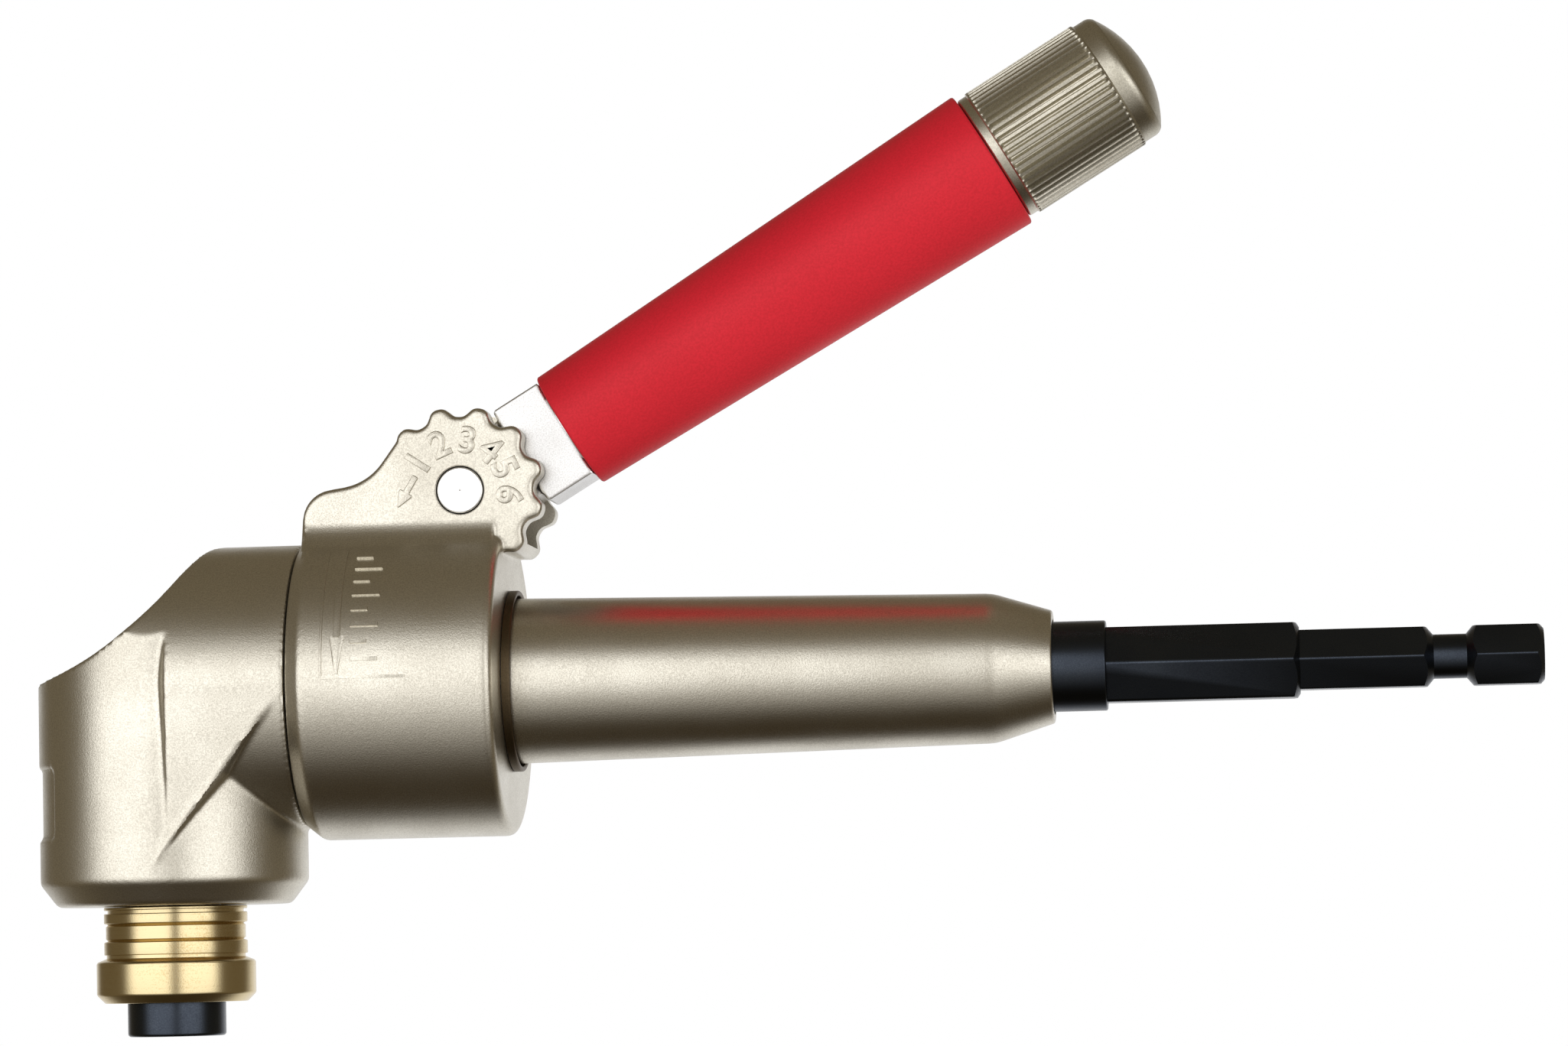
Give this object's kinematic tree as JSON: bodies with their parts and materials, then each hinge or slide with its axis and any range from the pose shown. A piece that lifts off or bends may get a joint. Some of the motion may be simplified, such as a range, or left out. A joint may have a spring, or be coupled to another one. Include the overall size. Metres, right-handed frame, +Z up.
{
  "type": "right angle attachment",
  "caption": "Right angle drive for a drill: cast elbow head with bevel gears, hex shank, quick release hex socket and a turning collar with a folding lever handle.",
  "frame": {"origin": "centre of the hex shank's end face, on the drive shaft's axis", "axes": "+X along the drive shaft, out of the shank's end; +Z up, on the side of the lever handle; the output spindle points along -Z"},
  "size_m": [0.1627, 0.0338, 0.1075],
  "materials": {
    "cast_nickel": "die cast, bead blasted and nickel plated, warm satin",
    "black_oxide": "turned and milled steel, black oxide",
    "steel": "satin steel",
    "brass": "turned and lacquered",
    "bronze": "sintered bearing bronze",
    "red_anodised": "satin red coating",
    "seal_rubber": "black rubber"
  },
  "bodies": {
    "housing": {"gear_head": "cast_nickel", "barrel_tube": "cast_nickel", "barrel_pin": "steel", "input_bushing_rear": "bronze", "input_bushing_front": "bronze", "output_bushing": "bronze", "pinion_washer": "steel", "gear_washer": "steel", "collar_ring": "steel"},
    "drive": {"drive_shank": "black_oxide", "input_pinion": "steel", "shaft_clip": "steel"},
    "output": {"output_spindle": "black_oxide", "output_gear": "steel", "spring_washer": "steel", "spindle_clip": "steel", "sleeve_spring": "steel"},
    "sleeve": {"release_sleeve": "brass"},
    "ball": {"detent_ball": "steel"},
    "collar": {"swivel_collar": "cast_nickel", "pivot_pin": "steel"},
    "shoe": {"lock_shoe": "steel"},
    "lever": {"cam_lever": "steel", "grip_tube": "red_anodised"},
    "seal": {"cap_seal": "seal_rubber"},
    "cap": {"end_cap": "steel"}
  },
  "joints": [
    {"name": "drive_spin", "type": "hinge", "parent": "housing", "child": "drive", "pos_m": [-0.1482, 0, 0], "axis": [1, 0, 0], "continuous": true},
    {"name": "output_spin", "type": "hinge", "parent": "housing", "child": "output", "pos_m": [-0.1482, 0, 0], "axis": [0, 0, 1], "continuous": true},
    {"name": "sleeve_slide", "type": "slide", "parent": "output", "child": "sleeve", "axis": [0, 0, -1], "range_m": [0, 0.002], "stiffness_N_per_m": 1500, "springref_m": -0.002, "deforming": ["sleeve_spring"]},
    {"name": "ball_slide", "type": "slide", "parent": "output", "child": "ball", "axis": [1, 0, 0], "range_m": [0, 0.001]},
    {"name": "collar_turn", "type": "hinge", "parent": "housing", "child": "collar", "pos_m": [-0.1152, 0, 0], "axis": [1, 0, 0], "continuous": true},
    {"name": "lever_fold", "type": "hinge", "parent": "collar", "child": "lever", "pos_m": [-0.1152, 0, 0.02038], "axis": [0, -1, 0], "range_deg": [-31, 89]},
    {"name": "shoe_slide", "type": "slide", "parent": "collar", "child": "shoe", "axis": [0, 0, 1], "range_m": [-0.00011, 0.00032]},
    {"name": "cap_slide", "type": "slide", "parent": "lever", "child": "seal", "axis": [0.8572, 0, 0.515], "range_m": [0, 0.006]},
    {"name": "cap_turn", "type": "hinge", "parent": "seal", "child": "cap", "pos_m": [-0.1152, 0, 0.02038], "axis": [0.8572, 0, 0.515], "range_deg": [0, 1440]}
  ],
  "couplings": [
    {"joint": "output_spin", "follows": "drive_spin", "ratio": 1},
    {"joint": "ball_slide", "follows": "sleeve_slide", "ratio": 0.5},
    {"joint": "shoe_slide", "follows": "lever_fold", "m_per_rad": 0.0002},
    {"joint": "cap_turn", "follows": "cap_slide", "rad_per_m": 4188.7}
  ]
}
